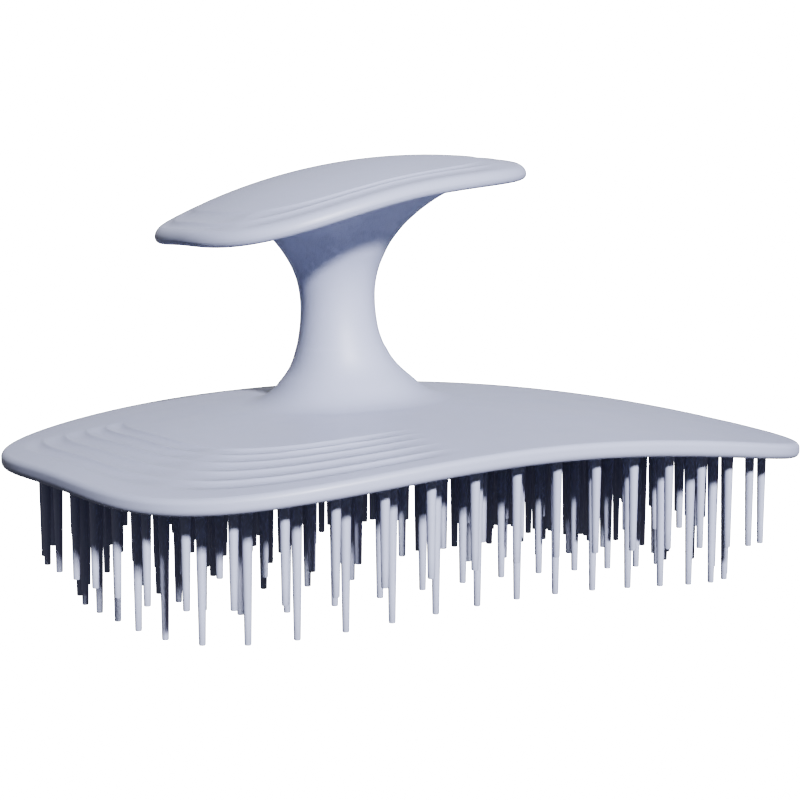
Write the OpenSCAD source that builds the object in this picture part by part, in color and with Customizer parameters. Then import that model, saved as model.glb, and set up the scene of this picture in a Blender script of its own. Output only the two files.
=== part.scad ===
// Scalp massager brush: a domed body full of tapered pins, a waisted stem and an arched palm rest.
// +Z is up, +X runs along the length, and the lowest pin tips stand at Z = 0. Millimetres.

/* [Body] */
// Length of the domed body
body_length = 107.7; // [107:0.1:118]
// Width of the domed body
body_width = 79.5; // [79:0.1:88]
// Squareness of the body's outline: 2 is an ellipse, higher is boxier
body_squareness = 3.5; // [3.2:0.1:3.8]
// Height of the top of the dome above the lowest pin tips
body_height = 27.8; // [26:0.2:30]
// Radius of the dome's arch along its length
body_arch_length = 203; // [180:1:260]
// Radius of the dome's arch across its width
body_arch_width = 249; // [210:1:300]
// Thickness of the body at its rim
body_thickness = 2.3; // [2:0.1:3]

/* [Pins] */
// Pins in each row, from the outermost row to the middle one
row_pins = [47, 43, 40, 34, 30, 26, 21, 17, 12];
// Turn of each row along its own line, in pins, from the middle of the front side
row_turn = [0, 0.5, 0, 0, 0.5, 0, 0.5, 0.5, 0];
// Length of the outermost row
first_row_length = 100.4; // [96:0.2:102]
// Width of the outermost row
first_row_width = 71; // [68:0.2:72]
// Squareness of the rows of pins
row_squareness = 3.1; // [2.8:0.1:3.3]
// Distance of the middle of the rows from the body's middle, towards +X
row_offset = 0.8; // [0:0.1:0.8]
// Distance from one short row to the next, with a long row between them
row_pair_gap = 8; // [7.6:0.1:8.2]
// Distance from a short row to the long row inside it
row_step = 4.4; // [4:0.1:4.8]
// How far the tips of the short rows stand above those of the long rows
short_rise = 6.7; // [5:0.1:8]
// Diameter of a pin at its tip
pin_tip_d = 0.9; // [0.8:0.05:1.2]
// Growth of a pin's diameter for each millimetre above its tip
pin_taper = 0.034; // [0.02:0.002:0.04]
// Hollow of the tips along the length, as the fall in mm at 1 mm from the middle
tip_hollow_length = 0.0029; // [0.0022:0.0001:0.0034]
// Hollow of the tips across the width, as the fall in mm at 1 mm from the middle
tip_hollow_width = 0.0026; // [0.002:0.0001:0.0032]

/* [Stem] */
// Distance of the stem's axis from the body's middle, towards -X
stem_offset = 11.1; // [9:0.1:12]
// Diameter of the stem at its waist
waist_d = 10.4; // [9.8:0.2:13]
// Height of the waist above the lowest pin tips
waist_height = 40.3; // [39:0.1:42]
// Radius of the flare below the waist
foot_flare = 16.5; // [15:0.5:19]
// Radius of the flare above the waist
head_flare = 15.5; // [14.5:0.5:17]
// Lean of the stem above its waist in degrees, towards -X
head_lean = 5; // [3:1:7]

/* [Palm rest] */
// Length of the palm rest
rest_length = 50.7; // [48:0.1:56]
// Width of the palm rest
rest_width = 39.5; // [37:0.1:42]
// Squareness of the palm rest's outline: 2 is an ellipse, higher is boxier
rest_squareness = 2.8; // [2.4:0.1:3.2]
// Distance of the palm rest's middle from the body's middle, towards -X
rest_offset = 11.3; // [9:0.1:12]
// Height of the middle of the palm rest above the lowest pin tips
rest_height = 59.5; // [58.5:0.1:61]
// Tilt of the palm rest in degrees, its +X end up
rest_tilt = 11; // [8:0.5:13]
// Radius of the palm rest's arch along its length
rest_arch_length = 78; // [70:1:90]
// Radius of the palm rest's arch across its width
rest_arch_width = 69; // [62:1:80]
// Thickness of the palm rest at its edge
rest_thickness = 2; // [1.9:0.1:2.4]

/* [Hidden] */

shell_colour = "#b9bdcb";
pin_colour = "#c9ccd6";
core_colour = "#5c606c";
screw_colour = "#a8abb0";

outline_steps = 96;
arch_fn = 360;
round_fn = 64;
pin_fn = 24;
arch_depth = 36;
outline_height = 60;

// Wall over the recess under each shell, width of the rim round it, and the plate's clearance in it.
skin = 1.1;
rim_width = 1.8;
plate_gap = 0.1;

// Core rod, the two bosses that hold its ends, and the screw that clamps them together.
core_d = 5;
core_fit = 0.04;
stem_bore_gap = 0.2;
flare_lip = 1;
waist_lap = 1;
head_reach = 16.5;
head_skirt = 1;
boss_d = 9;
boss_gap = 0.2;
dome_boss_top = body_height + 6;
core_bottom = body_height - 0.2;
core_top = waist_height + 12.8;
rest_boss_bottom = core_top - 3.4;
web = 1.1;
screw_d = 2.5;
screw_clearance = 0.2;
screw_length = 9;
screw_head_d = 4.5;
screw_head_height = 1.6;
screw_hex = 2;
screw_hex_depth = 0.9;
head_pocket_d = 5;
thread_gap = 0.04;

short_row = [for (row = [0 : len(row_pins) - 1]) row % 2 == 0];

// Superellipse: a rounded outline with half length a, half width b and squareness n.
function signed_power(value, power) = sign(value) * pow(abs(value), power);
function outline_point(a, b, n, angle) =
    [a * signed_power(cos(angle), 2 / n), b * signed_power(sin(angle), 2 / n)];
function outline(a, b, n) =
    [for (step = [0 : outline_steps - 1]) outline_point(a, b, n, 360 * step / outline_steps)];

// A row of pins is spread evenly by distance along its own superellipse, from the middle of the front.
row_samples = 720;
function row_a(row) = first_row_length / 2 - row_inset(row);
function row_b(row) = first_row_width / 2 - row_inset(row);
function row_inset(row) = row_pair_gap * floor(row / 2) + (short_row[row] ? 0 : row_step);
function row_line(row) =
    [for (step = [0 : row_samples])
        outline_point(row_a(row), row_b(row), row_squareness, 360 * step / row_samples - 90)];
function distances(line) =
    [for (i = 0, along = 0;
        i < len(line);
        along = along + (i + 1 < len(line) ? norm(line[i + 1] - line[i]) : 0), i = i + 1)
        along];
function row_places(row) =
    let (
        line = row_line(row),
        along = distances(line),
        pitch = along[row_samples] / row_pins[row],
        x_at = [for (i = [0 : row_samples]) [along[i], line[i][0]]],
        y_at = [for (i = [0 : row_samples]) [along[i], line[i][1]]]
    )
    [for (pin = [0 : row_pins[row] - 1])
        let (s = (pin + row_turn[row]) * pitch)
        [lookup(s, x_at), lookup(s, y_at)]];

// The long tips lie on a shallow hollow that fits the scalp; its lowest pin stands at Z = 0.
function tip_fall(place) =
    tip_hollow_length * pow(place[0], 2) + tip_hollow_width * pow(place[1], 2);
tip_middle = max([for (place = row_places(1)) tip_fall(place)]);
function tip_height(row, place) = tip_middle - tip_fall(place) + (short_row[row] ? short_rise : 0);

// Solid under an arched surface whose top is at the origin, taken in by inset from that surface.
module arch(length_radius, width_radius, inset) {
    r = length_radius - inset;
    reach = width_radius - inset;
    translate([0, 0, -width_radius])
        rotate([0, 90, 0])
            rotate_extrude($fn = arch_fn)
                intersection() {
                    translate([reach - r, 0])
                        circle(r, $fn = arch_fn);
                    translate([reach - arch_depth, -outline_height])
                        square([arch_depth + 1, 2 * outline_height]);
                }
}

module prism(length, width, squareness, inset) {
    translate([0, 0, -outline_height / 2])
        linear_extrude(outline_height)
            polygon(outline(length / 2 - inset, width / 2 - inset, squareness));
}

module body_arch(inset) {
    translate([0, 0, body_height])
        arch(body_arch_length, body_arch_width, inset);
}

module body_prism(inset) {
    translate([0, 0, body_height])
        prism(body_length, body_width, body_squareness, inset);
}

module rest_frame() {
    translate([-rest_offset, 0, rest_height])
        rotate([0, -rest_tilt, 0])
            children();
}

module rest_arch(inset) {
    rest_frame()
        arch(rest_arch_length, rest_arch_width, inset);
}

module rest_prism(inset) {
    rest_frame()
        prism(rest_length, rest_width, rest_squareness, inset);
}

// A round bar on the stem's axis.
module stem_bar(diameter, bottom, top) {
    translate([-stem_offset, 0, bottom])
        cylinder(d = diameter, h = top - bottom, $fn = round_fn);
}

module dome_cover() {
    color(shell_colour)
        difference() {
            union() {
                difference() {
                    intersection() {
                        body_prism(0);
                        body_arch(0);
                    }
                    body_arch(body_thickness);
                    intersection() {
                        body_prism(rim_width);
                        body_arch(skin);
                    }
                }
                difference() {
                    stem_bar(boss_d, body_height - 2, dome_boss_top);
                    body_arch(skin / 2);
                }
            }
            stem_bar(core_d + core_fit, core_bottom, dome_boss_top + 1);
        }
}

module bristle_pad() {
    color(shell_colour)
        difference() {
            intersection() {
                body_prism(rim_width + plate_gap);
                body_arch(skin);
            }
            body_arch(body_thickness);
        }
}

// One row of pins, trimmed where they meet the underside of the pad.
module pin_row(row) {
    color(pin_colour)
        intersection() {
            for (place = row_places(row))
                pin(place, tip_height(row, place));
            body_arch(body_thickness);
        }
}

module pin(place, tip) {
    length = body_height - tip;
    translate([place[0] + row_offset, place[1], tip])
        cylinder(d1 = pin_tip_d, d2 = pin_tip_d + pin_taper * length, h = length, $fn = pin_fn);
}

// Below its waist the stem is a block of revolution with a round hollow beside it.
module stem_foot() {
    reach = waist_d / 2 + foot_flare;
    translate([-stem_offset, 0, waist_height])
        rotate_extrude($fn = round_fn)
            difference() {
                translate([0, -foot_flare])
                    square([reach - flare_lip, foot_flare]);
                translate([reach, 0])
                    circle(foot_flare, $fn = arch_fn);
            }
}

// Above it the head leans with the palm rest, laps into the foot and closes against the rest.
module stem_head() {
    reach = waist_d / 2 + head_flare;
    translate([-stem_offset, 0, waist_height])
        rotate([0, -head_lean, 0])
            rotate_extrude($fn = round_fn)
                difference() {
                    translate([0, -waist_lap])
                        square([head_reach, head_flare + head_skirt + waist_lap]);
                    translate([reach, 0])
                        circle(head_flare, $fn = arch_fn);
                }
}

module stem() {
    color(shell_colour)
        difference() {
            union() {
                difference() {
                    stem_foot();
                    body_arch(0);
                }
                intersection() {
                    stem_head();
                    rest_arch(rest_thickness);
                }
            }
            stem_bar(core_d + stem_bore_gap, body_height - 4, rest_height);
            stem_bar(boss_d + boss_gap, body_height - 4, dome_boss_top + boss_gap);
            stem_bar(boss_d + boss_gap, rest_boss_bottom - boss_gap, rest_height);
        }
}

module stem_core() {
    color(core_colour)
        difference() {
            stem_bar(core_d, core_bottom, core_top);
            stem_bar(screw_d + thread_gap, core_top - screw_length + web, core_top + 1);
        }
}

module palm_rest_base() {
    color(shell_colour)
        difference() {
            union() {
                difference() {
                    intersection() {
                        rest_prism(rim_width + plate_gap);
                        rest_arch(skin);
                    }
                    rest_arch(rest_thickness);
                }
                intersection() {
                    stem_bar(boss_d, rest_boss_bottom, rest_height);
                    rest_arch(skin);
                }
            }
            stem_bar(core_d + core_fit, rest_boss_bottom - 1, core_top);
            stem_bar(screw_d + screw_clearance, core_top - 1, core_top + web + 1);
            stem_bar(head_pocket_d, core_top + web, rest_height + 2);
        }
}

module palm_rest_cover() {
    color(shell_colour)
        difference() {
            intersection() {
                rest_prism(0);
                rest_arch(0);
            }
            rest_arch(rest_thickness);
            intersection() {
                rest_prism(rim_width);
                rest_arch(skin);
            }
        }
}

module clamp_screw() {
    head_bottom = core_top + web;
    color(screw_colour)
        difference() {
            union() {
                stem_bar(screw_d, head_bottom - screw_length + web, head_bottom + 0.1);
                stem_bar(screw_head_d, head_bottom, head_bottom + screw_head_height);
            }
            translate([-stem_offset, 0, head_bottom + screw_head_height - screw_hex_depth])
                cylinder(d = screw_hex / cos(30), h = screw_hex_depth + 1, $fn = 6);
        }
}

dome_cover();
bristle_pad();
pin_row(0);  // short_pins_row_1
pin_row(1);  // long_pins_row_2
pin_row(2);  // short_pins_row_3
pin_row(3);  // long_pins_row_4
pin_row(4);  // short_pins_row_5
pin_row(5);  // long_pins_row_6
pin_row(6);  // short_pins_row_7
pin_row(7);  // long_pins_row_8
pin_row(8);  // short_pins_row_9
stem();
stem_core();
palm_rest_base();
palm_rest_cover();
clamp_screw();
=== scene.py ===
"""Scalp massager brush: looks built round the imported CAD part. Millimetres inside, metres in Blender."""
import math

import bmesh
import bpy
import numpy as np
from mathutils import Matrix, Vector


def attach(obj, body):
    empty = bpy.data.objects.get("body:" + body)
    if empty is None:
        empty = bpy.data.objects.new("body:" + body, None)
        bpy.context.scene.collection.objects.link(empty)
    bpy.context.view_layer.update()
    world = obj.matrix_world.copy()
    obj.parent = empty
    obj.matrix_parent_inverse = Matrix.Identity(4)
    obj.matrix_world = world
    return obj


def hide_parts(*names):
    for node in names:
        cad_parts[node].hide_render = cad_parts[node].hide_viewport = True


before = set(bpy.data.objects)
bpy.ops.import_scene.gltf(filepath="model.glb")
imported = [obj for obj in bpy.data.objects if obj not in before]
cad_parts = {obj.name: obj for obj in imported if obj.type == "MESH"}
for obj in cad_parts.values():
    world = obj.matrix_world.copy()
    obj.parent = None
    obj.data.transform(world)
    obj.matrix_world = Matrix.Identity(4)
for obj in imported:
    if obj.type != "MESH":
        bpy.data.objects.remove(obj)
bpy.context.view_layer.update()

MM = 0.001

# ---------------------------------------------------------------- sizes, the same as in part.scad
BODY = dict(length=107.7, width=79.5, n=3.5, top=27.8, arch_length=203.0, arch_width=249.0, thick=2.3)
REST = dict(length=50.7, width=39.5, n=2.8, top=59.5, arch_length=78.0, arch_width=69.0, thick=2.0)
REST_TILT = math.radians(11)
REST_OFFSET = 11.3
STEM_OFFSET = 11.1
SKIN = 1.1
RIM_WIDTH = 1.8
PLATE_GAP = 0.1

ROW_PINS = [47, 43, 40, 34, 30, 26, 21, 17, 12]
ROW_TURN = [0, 0.5, 0, 0, 0.5, 0, 0.5, 0.5, 0]
ROW_NAMES = ["short_pins_row_1", "long_pins_row_2", "short_pins_row_3", "long_pins_row_4",
             "short_pins_row_5", "long_pins_row_6", "short_pins_row_7", "long_pins_row_8",
             "short_pins_row_9"]
FIRST_ROW = (100.4, 71.0)
ROW_PAIR_GAP = 8.0
ROW_STEP = 4.4
ROW_SQUARENESS = 3.1
ROW_OFFSET = 0.8
SHORT_RISE = 6.7
TIP_D = 0.9
PIN_TAPER = 0.034
TIP_HOLLOW = (0.0029, 0.0026)

# Shallow steps: their depth, and how far the lines stand off an even inset along the sides and ends.
BODY_STEP_DEPTH = 0.34
BODY_SIDE_SHIFT = 0.75
REST_STEP_DEPTH = 0.2
REST_SIDE_SHIFT = 1.1
REST_END_STRETCH = 0.8


# ---------------------------------------------------------------- shapes
def signed_power(v, p):
    return np.sign(v) * np.abs(v) ** p


def outline(a, b, n, angles):
    """Superellipse points for angles in radians."""
    x = a * signed_power(np.cos(angles), 2 / n)
    y = b * signed_power(np.sin(angles), 2 / n)
    return np.stack([x, y], axis=-1)


def even_angles(a, b, n, count):
    """Angles whose points are evenly spaced along the superellipse."""
    fine = np.linspace(0, 2 * math.pi, 7201)
    pts = outline(a, b, n, fine)
    along = np.concatenate([[0], np.cumsum(np.linalg.norm(np.diff(pts, axis=0), axis=1))])
    return np.interp(np.arange(count) * along[-1] / count, along, fine)


def arch_fall(spec, inset, x, y):
    """Fall of a doubly arched surface below its own middle, taken in by inset."""
    r = spec["arch_length"] - inset
    middle = spec["arch_width"] - spec["arch_length"]
    ring = middle + np.sqrt(r * r - x * x)
    return spec["arch_width"] - np.sqrt(ring * ring - y * y)


def smoothstep(edge0, edge1, v):
    t = np.clip((v - edge0) / (edge1 - edge0), 0, 1)
    return t * t * (3 - 2 * t)


def through(points, count):
    """A smooth curve (Catmull-Rom, centripetal) through rows of numbers, count rows long."""
    p = np.asarray(points, float)
    step = np.sqrt(np.maximum(np.linalg.norm(np.diff(p[:, :2], axis=0), axis=1), 1e-6))
    t = np.concatenate([[0], np.cumsum(step)])
    slope = np.zeros_like(p)
    for i in range(len(p)):
        j, k = max(i - 1, 0), min(i + 1, len(p) - 1)
        slope[i] = (p[k] - p[j]) / (t[k] - t[j])
    out = []
    for s in np.linspace(0, t[-1], count):
        i = min(max(int(np.searchsorted(t, s)) - 1, 0), len(p) - 2)
        h = t[i + 1] - t[i]
        u = (s - t[i]) / h
        out.append((2 * u**3 - 3 * u**2 + 1) * p[i] + (u**3 - 2 * u**2 + u) * h * slope[i]
                   + (-2 * u**3 + 3 * u**2) * p[i + 1] + (u**3 - u**2) * h * slope[i + 1])
    return np.array(out)


def lathe(name, rings, first_point=None, last_point=None, close_ends=False):
    """Mesh from rings of equal count, each joined to the next; the ends are fanned to a point or joined."""
    rings = np.asarray(rings, float)
    n_rings, around = rings.shape[:2]
    verts = [tuple(v * MM) for v in rings.reshape(-1, 3)]
    faces = []
    for i in range(n_rings if close_ends else n_rings - 1):
        a, b = i * around, ((i + 1) % n_rings) * around
        for k in range(around):
            m = (k + 1) % around
            faces.append((a + k, a + m, b + m, b + k))
    if first_point is not None:
        verts.append(tuple(np.asarray(first_point) * MM))
        tip = len(verts) - 1
        faces += [(tip, (k + 1) % around, k) for k in range(around)]
    if last_point is not None:
        verts.append(tuple(np.asarray(last_point) * MM))
        tip = len(verts) - 1
        base = (n_rings - 1) * around
        faces += [(tip, base + k, base + (k + 1) % around) for k in range(around)]
    return build(name, verts, faces)


def build(name, verts, faces, sharp_deg=50):
    mesh = bpy.data.meshes.new(name)
    mesh.from_pydata(verts, [], faces)
    mesh.validate()
    bm = bmesh.new()
    bm.from_mesh(mesh)
    bmesh.ops.recalc_face_normals(bm, faces=bm.faces)
    bm.to_mesh(mesh)
    bm.free()
    obj = bpy.data.objects.new(name, mesh)
    bpy.context.scene.collection.objects.link(obj)
    for poly in mesh.polygons:
        poly.use_smooth = True
    mesh.set_sharp_from_angle(angle=math.radians(sharp_deg))
    return obj


def rim_profile(thick, top_radius, low_radius, low_stretch, steps=9):
    """(inset, drop) from the top surface round the rim to the underside."""
    pts = []
    for a in np.radians(np.linspace(90, 0, steps)):
        pts.append((top_radius * (1 - math.cos(a)), top_radius * (1 - math.sin(a))))
    for a in np.radians(np.linspace(0, -90, steps)):
        pts.append((low_radius * low_stretch * (1 - math.cos(a)), thick - low_radius * (1 + math.sin(a))))
    return pts


def shell(name, spec, place, profile, insets, draw, relief, around=360):
    """An arched plate: top, rim, underside and recess; draw gives a ring's inset along X and along Y."""
    a0, b0, n = spec["length"] / 2, spec["width"] / 2, spec["n"]
    angles = even_angles(a0, b0, n, around)
    rings = []

    def add(xy, z):
        rings.append(place(np.column_stack([xy, z])))

    deep = insets[-1]
    a1, b1 = a0 - draw(deep)[0], b0 - draw(deep)[1]
    for share in np.linspace(0.04, 0.97, 20):
        xy = outline(a1 * share, b1 * share, n, angles)
        add(xy, -arch_fall(spec, 0, xy[:, 0], xy[:, 1]))
    for inset in insets[::-1]:
        a, b = a0 - draw(inset)[0], b0 - draw(inset)[1]
        xy = outline(a, b, n, angles)
        add(xy, relief(inset, xy[:, 0], xy[:, 1], a, b, n) - arch_fall(spec, 0, xy[:, 0], xy[:, 1]))
    ends = [(RIM_WIDTH - 0.12, spec["thick"]), (RIM_WIDTH, spec["thick"] - 0.12), (RIM_WIDTH, SKIN + 0.02)]
    for inset, drop in list(profile) + ends:
        xy = outline(a0 - inset, b0 - inset, n, angles)
        add(xy, -arch_fall(spec, drop, xy[:, 0], xy[:, 1]))
    for share in (0.999, 0.75, 0.5, 0.25, 0.02):
        xy = outline((a0 - RIM_WIDTH) * share, (b0 - RIM_WIDTH) * share, n, angles)
        add(xy, -arch_fall(spec, SKIN, xy[:, 0], xy[:, 1]))
    top = place(np.array([[0.0, 0.0, 0.0]]))[0]
    under = place(np.array([[0.0, 0.0, -SKIN]]))[0]
    return lathe(name, rings, first_point=top, last_point=under)


def scallops(ridges, depth, inset):
    """Shallow scoops between ridges, each steepest just outside its inner ridge."""
    for low, high in zip(ridges[:-1], ridges[1:]):
        if low < inset < high:
            v = (high - inset) / (high - low)
            return -depth * math.sin(math.pi * v ** 0.72)
    return 0.0


def outline_bearing(x, y, a, b, n):
    """Bearing of the outline's normal: 0 faces -X, 90 faces +Y, -90 faces -Y, in degrees."""
    nx = np.sign(x) * np.abs(x / a) ** (n - 1) / a
    ny = np.sign(y) * np.abs(y / b) ** (n - 1) / b
    return np.degrees(np.arctan2(ny, -nx))


def terraces(ridges, depth, end_fade, side_fade, corner_fade, length_fade):
    """Relief with scallops round one end and along half of one side, and the same turned half round."""
    def mask(x, y, a, b, n):
        bearing = outline_bearing(x, y, a, b, n)
        end = smoothstep(*end_fade, bearing) * (1 - smoothstep(*side_fade, bearing))
        side = (1 - smoothstep(*corner_fade, bearing)) * (1 - smoothstep(*length_fade, x)) * (y < 0)
        return np.maximum(end, side)

    def relief(inset, x, y, a, b, n):
        return scallops(ridges, depth, inset) * np.maximum(mask(x, y, a, b, n), mask(-x, -y, a, b, n))
    return relief


# ---------------------------------------------------------------- places
def on_body(points):
    return points + [0, 0, BODY["top"]]


def on_rest(points):
    c, s = math.cos(REST_TILT), math.sin(REST_TILT)
    out = points.copy()
    out[:, 0] = points[:, 0] * c - points[:, 2] * s - REST_OFFSET
    out[:, 2] = points[:, 0] * s + points[:, 2] * c + REST["top"]
    return out


def body_z(x, y, inset=0.0):
    return BODY["top"] - arch_fall(BODY, inset, x, y)


def rest_under_z(x, y):
    """Height of the palm rest's underside above a point."""
    c, s = math.cos(REST_TILT), math.sin(REST_TILT)
    w = -REST["thick"] * np.ones_like(x)
    for _ in range(6):
        p = (x + REST_OFFSET + w * s) / c
        w = -arch_fall(REST, REST["thick"], p, y)
    return REST["top"] + p * s + w * c


# ---------------------------------------------------------------- pieces
def make_dome_cover():
    profile = rim_profile(BODY["thick"], 0.62, 1.15, 1.0)
    insets = np.concatenate([np.arange(0.8, 2.9, 0.35), np.arange(3.0, 15.61, 0.14),
                             [16.2, 17.2, 18.6, 20.4]])
    relief = terraces([3.0, 5.4, 8.1, 10.8, 13.2, 15.4], BODY_STEP_DEPTH,
                      (-25, -5), (12, 30), (-44, -22), (-24, -13))
    return shell("dome_cover", BODY, on_body, profile, insets,
                 lambda d: (d, d - BODY_SIDE_SHIFT * float(smoothstep(0, 5, d))), relief, around=480)


def make_palm_rest_cover():
    profile = rim_profile(REST["thick"], 0.9, 1.1, 1.1)
    insets = np.concatenate([[1.0], np.arange(1.1, 4.6, 0.08), [4.9, 5.4, 6.1, 7.0]])
    relief = terraces([1.15, 2.1, 3.3], REST_STEP_DEPTH, (-34, -12), (20, 46), (-50, -28), (11, 18))

    def draw(d):
        return (d + REST_END_STRETCH * d * float(smoothstep(0.9, 3.6, d)),
                d + REST_SIDE_SHIFT * float(smoothstep(0.9, 2.2, d)))
    return shell("palm_rest_cover", REST, on_rest, profile, insets, draw, relief, around=360)


def make_pad():
    """The plate the pins stand on, with a small chamfer where it meets the dome's rim."""
    n, thick = BODY["n"], BODY["thick"]
    a0 = BODY["length"] / 2 - RIM_WIDTH - PLATE_GAP
    b0 = BODY["width"] / 2 - RIM_WIDTH - PLATE_GAP
    angles = even_angles(a0, b0, n, 360)
    rings = []
    upper = [(30, SKIN + 0.02), (15, SKIN + 0.02), (0.1, SKIN + 0.02), (0.0, SKIN + 0.1)]
    edge = [(0.0, thick - 0.15), (0.05, thick - 0.05), (0.18, thick)]
    lower = [(d, thick) for d in (2, 6, 12, 20, 28, 34)]
    for inset, layer in upper + edge + lower:
        xy = outline(a0 - inset, b0 - inset, n, angles)
        rings.append(np.column_stack([xy, body_z(xy[:, 0], xy[:, 1], layer)]))
    return lathe("bristle_pad", rings, first_point=(0, 0, BODY["top"] - SKIN - 0.02),
                 last_point=(0, 0, BODY["top"] - thick))


def row_places(row):
    inset = ROW_PAIR_GAP * (row // 2) + (ROW_STEP if row % 2 else 0)
    a, b, n = FIRST_ROW[0] / 2 - inset, FIRST_ROW[1] / 2 - inset, ROW_SQUARENESS
    fine = np.radians(np.arange(721) * 0.5 - 90)
    pts = outline(a, b, n, fine)
    along = np.concatenate([[0], np.cumsum(np.linalg.norm(np.diff(pts, axis=0), axis=1))])
    s = (np.arange(ROW_PINS[row]) + ROW_TURN[row]) * along[-1] / ROW_PINS[row]
    return np.column_stack([np.interp(s, along, pts[:, 0]), np.interp(s, along, pts[:, 1])])


def tip_fall(p):
    return TIP_HOLLOW[0] * p[:, 0] ** 2 + TIP_HOLLOW[1] * p[:, 1] ** 2


TIP_MIDDLE = tip_fall(row_places(1)).max()


def make_pins(row):
    """One row of tapered pins: flat tips with a worn edge, and a small fillet at the root."""
    around = 24
    ring = np.linspace(0, 2 * math.pi, around, endpoint=False)
    circle = np.column_stack([np.cos(ring), np.sin(ring)])
    verts, faces = [], []
    places = row_places(row)
    tips = TIP_MIDDLE - tip_fall(places) + (0 if row % 2 else SHORT_RISE)
    for (x, y), tip in zip(places, tips):
        x += ROW_OFFSET
        root = float(body_z(x, y, BODY["thick"]))
        length = root - tip
        r0, slope = TIP_D / 2, PIN_TAPER / 2
        levels = [(r0 * 0.55, 0.0), (r0 * 0.86, 0.015), (r0 + 0.004, 0.13)]
        levels += [(r0 + slope * length * f, length * f) for f in (0.2, 0.4, 0.6, 0.8)]
        for drop, grow in ((0.5, 0.0), (0.28, 0.05), (0.12, 0.16), (0.03, 0.32), (-0.08, 0.45)):
            levels.append((r0 + slope * (length - drop) + grow, length - drop))
        base = len(verts)
        for r, h in levels:
            verts += [((x + c[0] * r) * MM, (y + c[1] * r) * MM, (tip + h) * MM) for c in circle]
        for i in range(len(levels) - 1):
            for k in range(around):
                m = (k + 1) % around
                a, b = base + i * around, base + (i + 1) * around
                faces.append((a + k, a + m, b + m, b + k))
        faces.append(tuple(base + k for k in reversed(range(around))))
        top = base + (len(levels) - 1) * around
        faces.append(tuple(top + k for k in range(around)))
    return build(ROW_NAMES[row], verts, faces, sharp_deg=40)


def make_stem():
    """Waisted stem, running out smoothly over the dome and under the palm rest, bored for the core."""
    dome_axis = float(body_z(np.array(-STEM_OFFSET), np.array(0.0)))
    under_axis = float(rest_under_z(np.array([-STEM_OFFSET]), np.array([0.0]))[0])
    # Foot rows: radius, height over the dome, share of the dome's arch.
    foot = [(15.8, -0.04, 1.0), (14.6, 0.0, 1.0), (13.3, 0.13, 1.0), (12.0, 0.48, 1.0), (10.9, 1.05, 0.95),
            (10.0, 1.75, 0.85), (9.2, 2.55, 0.7), (8.3, 3.45, 0.5), (7.6, 4.3, 0.35), (7.05, 5.15, 0.2),
            (6.62, 6.0, 0.1), (6.3, 6.8, 0.0)]
    # Stem rows: radius, height, x of the axis, share of the dome's arch, of the rest's arch, of its outline.
    rows = [(r, dome_axis + h, -9.55 - 0.9 * float(smoothstep(1.5, 8.0, h)), w, 0, 0) for r, h, w in foot]
    rows += [(6.0, 35.0, -10.5, 0, 0, 0), (5.55, 36.7, -10.7, 0, 0, 0), (5.3, 38.4, -10.8, 0, 0, 0),
             (5.18, 40.3, -10.9, 0, 0, 0), (5.26, 42.2, -11.02, 0, 0, 0), (5.55, 43.9, -11.13, 0, 0, 0),
             (6.05, 45.5, -11.25, 0, 0.03, 0), (6.75, 47.0, -11.35, 0, 0.08, 0),
             (7.75, 48.75, -11.42, 0, 0.18, 0.03)]
    # Head rows: radius, depth under the rest, share of the rest's arch, share of its outline.
    head = [(9.2, 6.84, 0.3, 0.1), (10.7, 5.37, 0.42, 0.22),
            (12.2, 4.16, 0.55, 0.38), (13.7, 3.12, 0.68, 0.56),
            (15.2, 2.2, 0.8, 0.74), (16.6, 1.45, 0.9, 0.88), (17.8, 0.8, 0.97, 0.96), (18.8, 0.28, 1.0, 1.0),
            (19.7, -0.02, 1.0, 1.0)]
    rows += [(r, under_axis - d, -11.4 + 0.6 * m, 0, w, m) for r, d, w, m in head]
    around = 160
    t = np.linspace(0, 2 * math.pi, around, endpoint=False)
    reach = 1 / (np.abs(np.cos(t) / 1.06) ** 2.3 + np.abs(np.sin(t) / 0.87) ** 2.3) ** (1 / 2.3)
    rings = []
    for r, z, xc, w_dome, w_rest, morph in through(rows, 150):
        radius = r * (1 + (reach - 1) * min(max(morph, 0), 1))
        x, y = xc + radius * np.cos(t), radius * np.sin(t)
        height = (z + max(w_dome, 0) * (body_z(x, y) - dome_axis)
                  + max(w_rest, 0) * (rest_under_z(x, y) - under_axis))
        rings.append(np.column_stack([x, y, height]))
    bore = []
    for r, z in [(4.6, 55.0), (4.6, 49.5), (2.6, 49.5), (2.6, 33.8), (4.6, 33.8), (4.6, 27.6)]:
        bore.append(np.column_stack([-STEM_OFFSET + r * np.cos(t), r * np.sin(t), np.full(around, z)]))
    return lathe("stem", rings + bore, close_ends=True)


# ---------------------------------------------------------------- materials
def new_material(name):
    mat = bpy.data.materials.new(name)
    mat.use_nodes = True
    nodes, links = mat.node_tree.nodes, mat.node_tree.links
    return mat, nodes, links, nodes["Principled BSDF"]


def noise(nodes, links, coords, scale, detail, rough=0.55):
    tex = nodes.new("ShaderNodeTexNoise")
    tex.inputs["Scale"].default_value = scale
    tex.inputs["Detail"].default_value = detail
    tex.inputs["Roughness"].default_value = rough
    links.new(coords.outputs["Object"], tex.inputs["Vector"])
    return tex


def ramp(nodes, links, source, stops):
    node = nodes.new("ShaderNodeValToRGB")
    while len(node.color_ramp.elements) < len(stops):
        node.color_ramp.elements.new(0.5)
    for element, (place, colour) in zip(node.color_ramp.elements, stops):
        element.position = place
        element.color = (*colour, 1)
    links.new(source.outputs["Fac"], node.inputs["Fac"])
    return node


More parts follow.
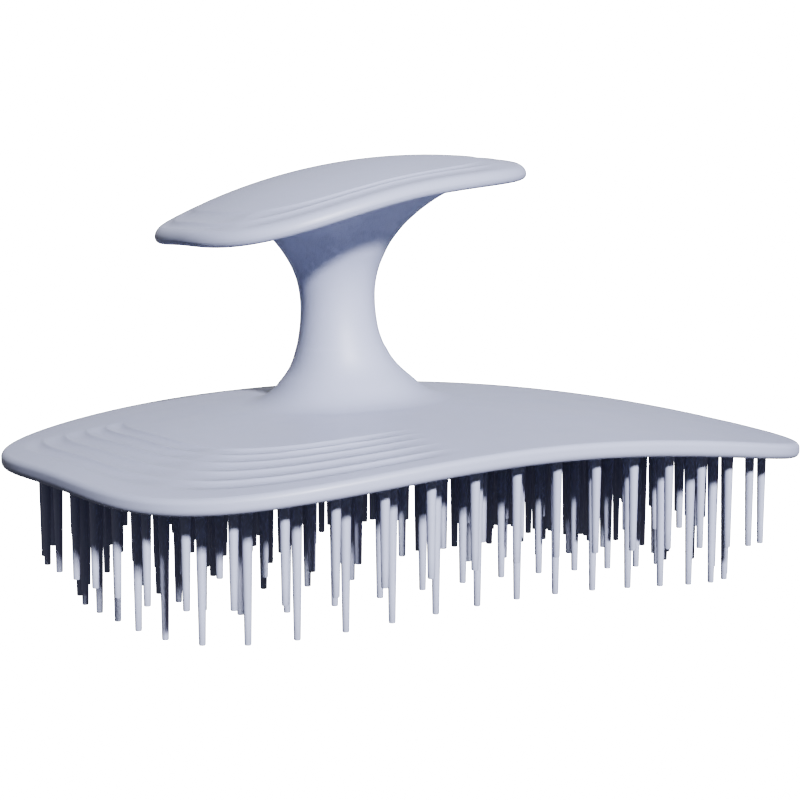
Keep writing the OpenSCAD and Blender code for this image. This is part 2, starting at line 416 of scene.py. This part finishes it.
def map_range(nodes, links, source, low, high):
    node = nodes.new("ShaderNodeMapRange")
    node.inputs["From Min"].default_value = 0.3
    node.inputs["From Max"].default_value = 0.7
    node.inputs["To Min"].default_value = low
    node.inputs["To Max"].default_value = high
    links.new(source.outputs["Fac"], node.inputs["Value"])
    return node


def plastic(name, colour, rough=(0.42, 0.52), tone=0.03, bump=0.12, specular=0.45):
    """Moulded satin plastic: cloudy tone from the melt, uneven sheen, and a fine spark-eroded grain."""
    mat, nodes, links, bsdf = new_material(name)
    coords = nodes.new("ShaderNodeTexCoord")
    cloud = noise(nodes, links, coords, 42, 4)
    c = np.array(colour)
    stops = [(0.3, c * (1 - tone)), (0.5, c), (0.72, c * (1 + tone) + [0, 0, tone * 0.1])]
    tint = ramp(nodes, links, cloud, stops)
    links.new(tint.outputs["Color"], bsdf.inputs["Base Color"])
    sheen_noise = noise(nodes, links, coords, 160, 5)
    sheen = map_range(nodes, links, sheen_noise, *rough)
    links.new(sheen.outputs["Result"], bsdf.inputs["Roughness"])
    grain = noise(nodes, links, coords, 5200, 2, 0.4)
    lump = nodes.new("ShaderNodeBump")
    lump.inputs["Strength"].default_value = bump
    lump.inputs["Distance"].default_value = 0.00004
    links.new(grain.outputs["Fac"], lump.inputs["Height"])
    links.new(lump.outputs["Normal"], bsdf.inputs["Normal"])
    bsdf.inputs["Specular IOR Level"].default_value = specular
    return mat


def steel(name):
    mat, nodes, links, bsdf = new_material(name)
    coords = nodes.new("ShaderNodeTexCoord")
    turned = nodes.new("ShaderNodeMapping")
    turned.inputs["Scale"].default_value = (1, 1, 40)
    links.new(coords.outputs["Object"], turned.inputs["Vector"])
    lines = nodes.new("ShaderNodeTexNoise")
    lines.inputs["Scale"].default_value = 400
    links.new(turned.outputs["Vector"], lines.inputs["Vector"])
    tint = ramp(nodes, links, lines, [(0.3, (0.42, 0.42, 0.44)), (0.7, (0.58, 0.58, 0.6))])
    links.new(tint.outputs["Color"], bsdf.inputs["Base Color"])
    rough = map_range(nodes, links, lines, 0.22, 0.4)
    links.new(rough.outputs["Result"], bsdf.inputs["Roughness"])
    bsdf.inputs["Metallic"].default_value = 1.0
    return mat


SHELL = plastic("shell_plastic", (0.355, 0.38, 0.525))
PINS = plastic("pin_plastic", (0.37, 0.395, 0.54), rough=(0.4, 0.5), tone=0.025, bump=0.08)
CORE = plastic("core_plastic", (0.075, 0.08, 0.1), rough=(0.35, 0.5), tone=0.12)
SCREW = steel("screw_steel")


def dress(obj, material, node=None):
    obj.data.materials.clear()
    obj.data.materials.append(material)
    if node:
        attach(obj, "root")
        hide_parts(node)


dress(make_dome_cover(), SHELL, "dome_cover")
dress(make_pad(), SHELL, "bristle_pad")
for row, row_name in enumerate(ROW_NAMES):
    dress(make_pins(row), PINS, row_name)
dress(make_stem(), SHELL, "stem")
dress(make_palm_rest_cover(), SHELL, "palm_rest_cover")
for node_name, material in (("palm_rest_base", SHELL), ("stem_core", CORE), ("clamp_screw", SCREW)):
    dress(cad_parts[node_name], material)


# ---------------------------------------------------------------- stage
def floor_material():
    mat, nodes, links, bsdf = new_material("floor_pale")
    coords = nodes.new("ShaderNodeTexCoord")
    cloud = noise(nodes, links, coords, 3, 3)
    tint = ramp(nodes, links, cloud, [(0.3, (0.86, 0.86, 0.865)), (0.7, (0.9, 0.9, 0.905))])
    links.new(tint.outputs["Color"], bsdf.inputs["Base Color"])
    bsdf.inputs["Roughness"].default_value = 0.9
    bsdf.inputs["Specular IOR Level"].default_value = 0.2
    bsdf.inputs["Emission Color"].default_value = (1, 1, 1, 1)
    bsdf.inputs["Emission Strength"].default_value = 12.0
    return mat


def wall_material():
    mat, _, _, bsdf = new_material("wall_pale")
    bsdf.inputs["Base Color"].default_value = (0, 0, 0, 1)
    bsdf.inputs["Roughness"].default_value = 1.0
    bsdf.inputs["Specular IOR Level"].default_value = 0.0
    bsdf.inputs["Emission Color"].default_value = (1, 1, 1, 1)
    bsdf.inputs["Emission Strength"].default_value = 13.0
    return mat


def stage_piece(name, verts, faces, material):
    """Part of the set: it shows behind the object and takes its shadow, but throws no light back on it."""
    mesh = bpy.data.meshes.new(name)
    mesh.from_pydata(verts, [], faces)
    mesh.materials.append(material)
    obj = bpy.data.objects.new(name, mesh)
    bpy.context.scene.collection.objects.link(obj)
    obj.visible_diffuse = False
    obj.visible_glossy = False
    obj.visible_shadow = False
    return obj


ROOM = 5.0
SIDES = 64
turns = [2 * math.pi * k / SIDES for k in range(SIDES)]
ring = [(ROOM * math.cos(turn), ROOM * math.sin(turn)) for turn in turns]
stage_piece("floor", [(x, y, 0) for x, y in ring], [tuple(range(SIDES))], floor_material())
wall_verts = [(x, y, 0) for x, y in ring] + [(x, y, 3) for x, y in ring]
wall_faces = [(k, (k + 1) % SIDES, SIDES + (k + 1) % SIDES, SIDES + k) for k in range(SIDES)]
stage_piece("backdrop", wall_verts, wall_faces, wall_material())


def aim(obj, position, target):
    obj.location = position
    obj.rotation_euler = (Vector(target) - Vector(position)).to_track_quat("-Z", "Y").to_euler()


def sun(name, bearing, elevation, angle, strength, colour):
    """A sun: bearing from -Y towards +X, elevation, and width in the sky, in degrees."""
    light = bpy.data.lights.new(name, "SUN")
    light.angle = math.radians(angle)
    light.energy = strength
    light.color = colour
    obj = bpy.data.objects.new(name, light)
    bpy.context.scene.collection.objects.link(obj)
    b, e = math.radians(bearing), math.radians(elevation)
    aim(obj, (math.sin(b) * math.cos(e), -math.cos(b) * math.cos(e), math.sin(e)), (0, 0, 0))


sun("key_light", -8.5, 27.2, 5, 8.2, (1.0, 0.99, 0.98))
sun("back_fill", 165, 15, 60, 0.45, (0.97, 0.98, 1.0))

# Soft light from all round above, fading out below the horizon.
world = bpy.data.worlds.new("studio")
bpy.context.scene.world = world
world.use_nodes = True
sky, sky_links = world.node_tree.nodes, world.node_tree.links
sky_coords = sky.new("ShaderNodeTexCoord")
split = sky.new("ShaderNodeSeparateXYZ")
sky_links.new(sky_coords.outputs["Generated"], split.inputs["Vector"])
sky_ramp = sky.new("ShaderNodeMapRange")
sky_ramp.interpolation_type = "SMOOTHSTEP"
for socket, value in (("From Min", -0.25), ("From Max", 0.45), ("To Min", 0.13), ("To Max", 0.16)):
    sky_ramp.inputs[socket].default_value = value
sky_links.new(split.outputs["Z"], sky_ramp.inputs["Value"])
background = sky["Background"]
background.inputs["Color"].default_value = (0.92, 0.92, 1.0, 1)
sky_links.new(sky_ramp.outputs["Result"], background.inputs["Strength"])

# ---------------------------------------------------------------- camera
camera_data = bpy.data.cameras.new("camera")
camera_data.lens = 90.26
camera_data.sensor_width = 36
camera_data.clip_start = 0.01
camera_data.clip_end = 30
camera = bpy.data.objects.new("camera", camera_data)
bpy.context.scene.collection.objects.link(camera)
camera_place = Vector((-0.148105, -0.239847, 0.059239))
aim(camera, camera_place, camera_place + Vector((0.51977, 0.84643, -0.11574)))
bpy.context.scene.camera = camera

bpy.context.scene.view_settings.view_transform = "AgX"
bpy.context.scene.view_settings.look = "AgX - Medium High Contrast"
